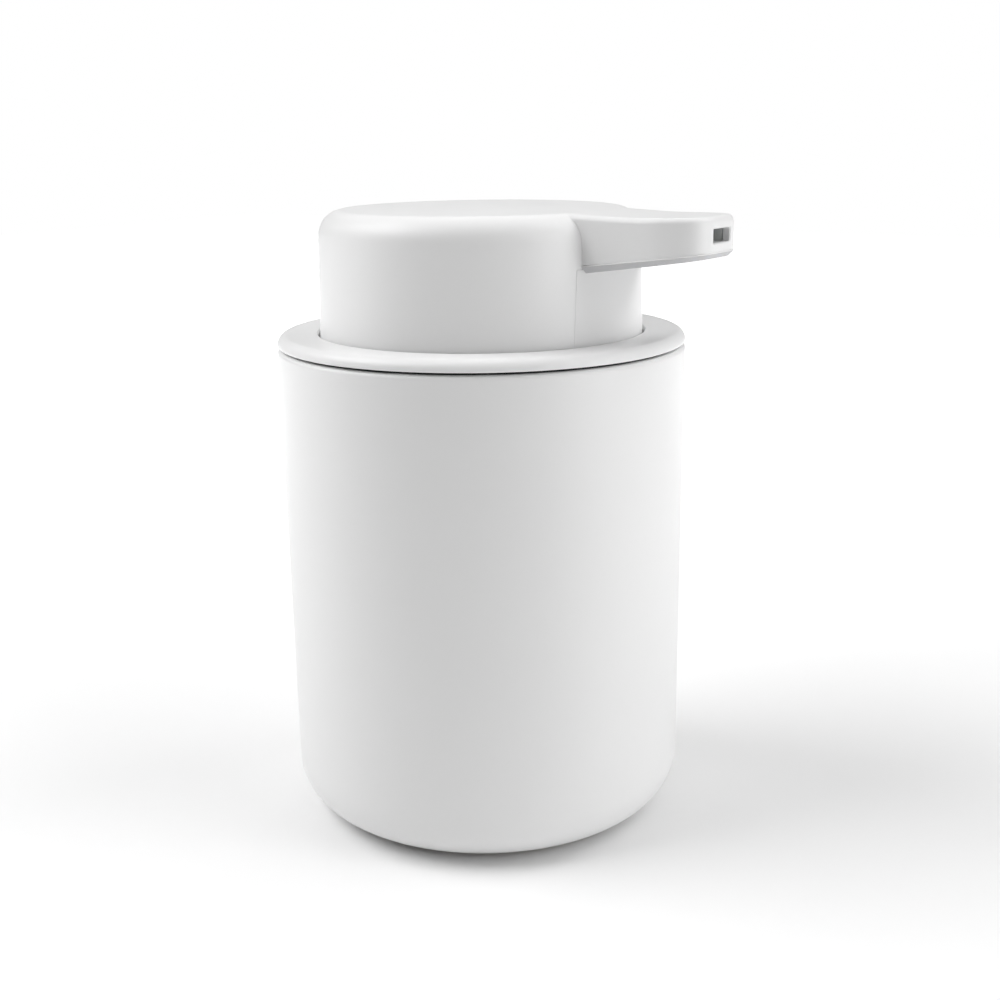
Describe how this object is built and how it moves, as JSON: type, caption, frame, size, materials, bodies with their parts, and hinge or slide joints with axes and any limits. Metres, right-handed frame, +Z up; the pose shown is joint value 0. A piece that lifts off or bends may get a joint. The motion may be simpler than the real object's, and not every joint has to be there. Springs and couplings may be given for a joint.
{
  "type": "soap pump dispenser",
  "caption": "Round ceramic soap dispenser with a ring collar, a wide press cap, a short flat spout and a spring-loaded lotion pump inside.",
  "frame": {"origin": "centre of the flat face that the dispenser stands on", "axes": "+Z up along the pump's axis, +X along the spout"},
  "size_m": [0.095, 0.083, 0.1262],
  "materials": {
    "ceramic": "white satin glaze",
    "white_plastic": "white satin moulding",
    "natural_plastic": "uncoloured polypropylene, semi-matt",
    "tube_plastic": "milky polyethylene tube",
    "grey_seal": "matt grey elastomer",
    "soft_seal": "soft polyethylene seal",
    "pad_rubber": "matt foam rubber",
    "spring_steel": "drawn stainless wire",
    "ball_steel": "polished stainless ball"
  },
  "bodies": {
    "jar": {"jar": "ceramic", "base_pad": "pad_rubber"},
    "pump": {"collar": "white_plastic", "collar_gasket": "grey_seal", "pump_cylinder": "natural_plastic", "cylinder_gasket": "grey_seal", "lock_nut": "natural_plastic", "stem_guide": "natural_plastic", "ball_cage": "natural_plastic", "return_spring": "spring_steel", "dip_tube": "tube_plastic"},
    "piston": {"piston_seal": "soft_seal"},
    "head": {"press_cap": "white_plastic", "spout_insert": "white_plastic", "nozzle_tube": "natural_plastic", "actuator_core": "natural_plastic", "stem": "natural_plastic", "piston_rod": "natural_plastic"},
    "inlet_valve": {"inlet_ball": "ball_steel"},
    "outlet_valve": {"outlet_ball": "ball_steel"}
  },
  "joints": [
    {"name": "lift_out", "type": "slide", "parent": "jar", "child": "pump", "axis": [0, 0, 1], "range_m": [0, 0.1]},
    {"name": "press", "type": "slide", "parent": "pump", "child": "piston", "axis": [0, 0, -1], "range_m": [0, 0.012], "stiffness_N_per_m": 600, "springref_m": -0.006, "deforming": ["return_spring"]},
    {"name": "swivel", "type": "hinge", "parent": "piston", "child": "head", "pos_m": [0, 0, 0.1], "axis": [0, 0, 1], "continuous": true},
    {"name": "inlet_valve_lift", "type": "slide", "parent": "pump", "child": "inlet_valve", "axis": [0, 0, 1], "range_m": [0, 0.0015]},
    {"name": "outlet_valve_lift", "type": "slide", "parent": "head", "child": "outlet_valve", "axis": [0, 0, 1], "range_m": [0, 0.0012]}
  ]
}
